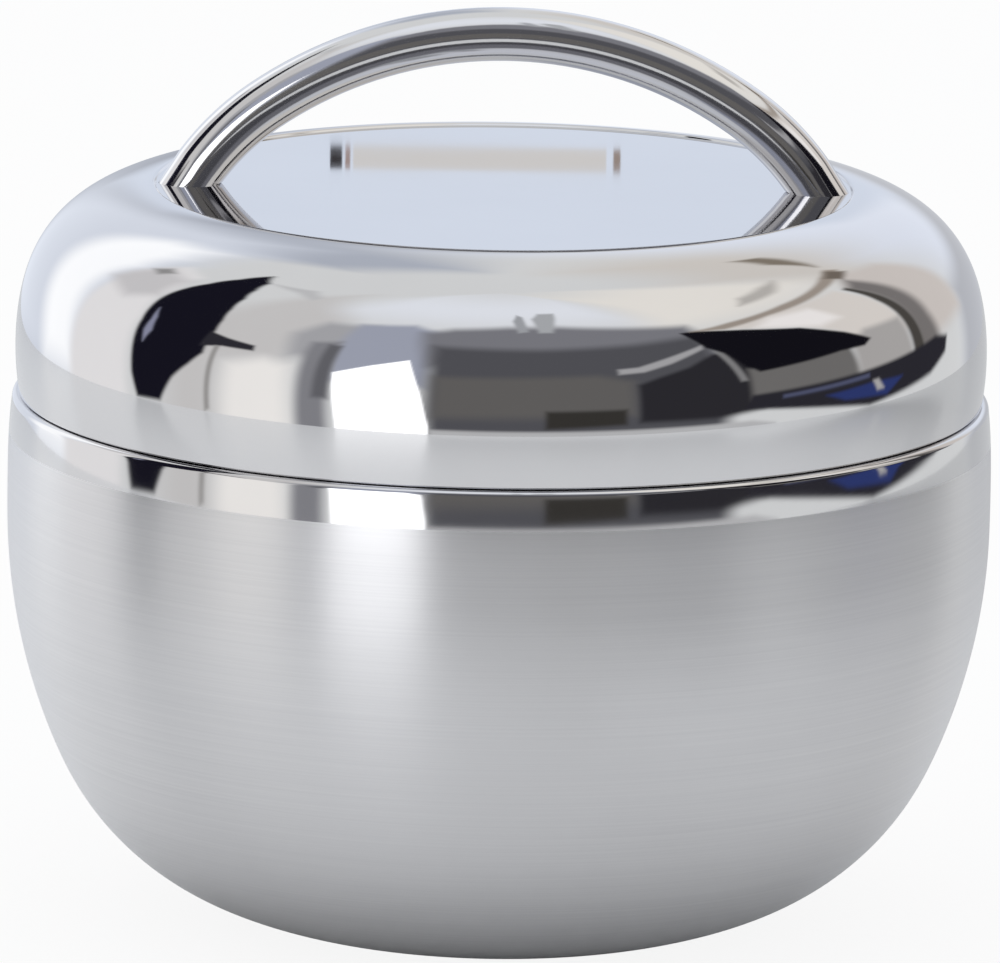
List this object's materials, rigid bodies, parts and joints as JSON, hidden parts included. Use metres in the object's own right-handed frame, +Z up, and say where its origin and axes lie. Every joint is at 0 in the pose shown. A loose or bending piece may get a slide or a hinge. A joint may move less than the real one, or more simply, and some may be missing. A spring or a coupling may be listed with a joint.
{
  "type": "insulated bowl with lid",
  "caption": "Round insulated serving bowl in brushed and mirror-polished stainless steel, with a lift-off domed lid that has a sunken flat top and an arched tube handle.",
  "frame": {"origin": "centre of the base, in the plane that the bowl stands on", "axes": "+Z up through the lid, +X along the handle to the right, +Y away from the picture's camera"},
  "size_m": [0.22, 0.22, 0.2062],
  "materials": {
    "bowl_outer_steel": "satin",
    "bowl_inner_steel": "satin",
    "lid_mirror_steel": "polished",
    "handle_mirror_steel": "polished",
    "fastener_steel": "satin",
    "rigid_foam": "matte",
    "silicone": "satin",
    "black_plastic": "matte"
  },
  "bodies": {
    "bowl": {"bowl_shell": "bowl_outer_steel", "bowl_liner": "bowl_inner_steel", "bowl_foam": "rigid_foam", "fill_plug": "black_plastic"},
    "lid": {"lid_shell": "lid_mirror_steel", "lid_pan": "bowl_inner_steel", "lid_foam": "rigid_foam", "lid_gasket": "silicone", "handle_tube": "handle_mirror_steel", "tube_insert_left": "fastener_steel", "tube_insert_right": "fastener_steel", "backing_plates": "fastener_steel", "handle_washers": "fastener_steel", "handle_screws": "fastener_steel"}
  },
  "joints": [
    {"name": "lid_lift", "type": "slide", "parent": "bowl", "child": "lid", "axis": [0, 0, 1], "range_m": [0, 0.12]}
  ]
}
